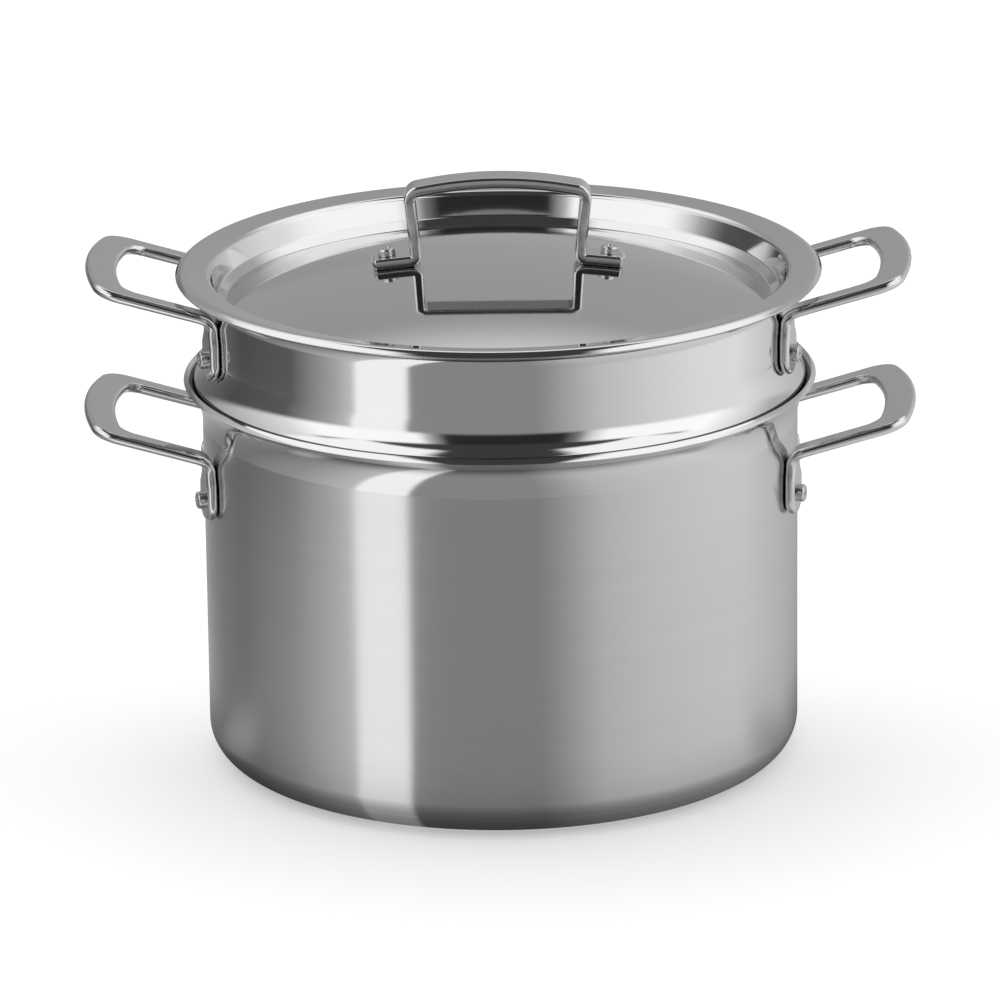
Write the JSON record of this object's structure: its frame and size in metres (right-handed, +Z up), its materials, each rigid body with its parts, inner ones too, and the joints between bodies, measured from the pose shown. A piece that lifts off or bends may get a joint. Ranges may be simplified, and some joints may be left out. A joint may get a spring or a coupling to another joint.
{
  "type": "stockpot with strainer insert",
  "caption": "Round steel stockpot with a lift-out perforated strainer insert and a dished lid, all with riveted steel handles, for boiling food and draining it.",
  "frame": {"origin": "centre of the pot's base, on the surface it stands on", "axes": "+X towards the right-hand side handles, +Y away from the viewer of the picture, +Z up"},
  "size_m": [0.3446, 0.265, 0.2439],
  "materials": {
    "pot_steel": "satin, brushed round the wall, with a polished flare at the rim",
    "insert_steel": "polished",
    "lid_steel": "mirror polished",
    "handle_steel": "polished",
    "rivet_steel": "smooth, slightly duller than the handles"
  },
  "bodies": {
    "pot": {"pot_shell": "pot_steel", "pot_handle_left": "handle_steel", "pot_handle_right": "handle_steel", "pot_rivet_left_front": "rivet_steel", "pot_rivet_left_rear": "rivet_steel", "pot_rivet_right_front": "rivet_steel", "pot_rivet_right_rear": "rivet_steel"},
    "insert": {"strainer_insert": "insert_steel", "insert_handle_left": "handle_steel", "insert_handle_right": "handle_steel", "insert_rivet_left_front": "rivet_steel", "insert_rivet_left_rear": "rivet_steel", "insert_rivet_right_front": "rivet_steel", "insert_rivet_right_rear": "rivet_steel"},
    "lid": {"lid_disc": "lid_steel", "lid_handle": "handle_steel", "lid_rivet_left": "rivet_steel", "lid_rivet_right": "rivet_steel"}
  },
  "joints": [
    {"name": "insert_lift", "type": "slide", "parent": "pot", "child": "insert", "axis": [0, 0, 1], "range_m": [0, 0.175]},
    {"name": "lid_lift", "type": "slide", "parent": "insert", "child": "lid", "axis": [0, 0, 1], "range_m": [0, 0.06]}
  ]
}
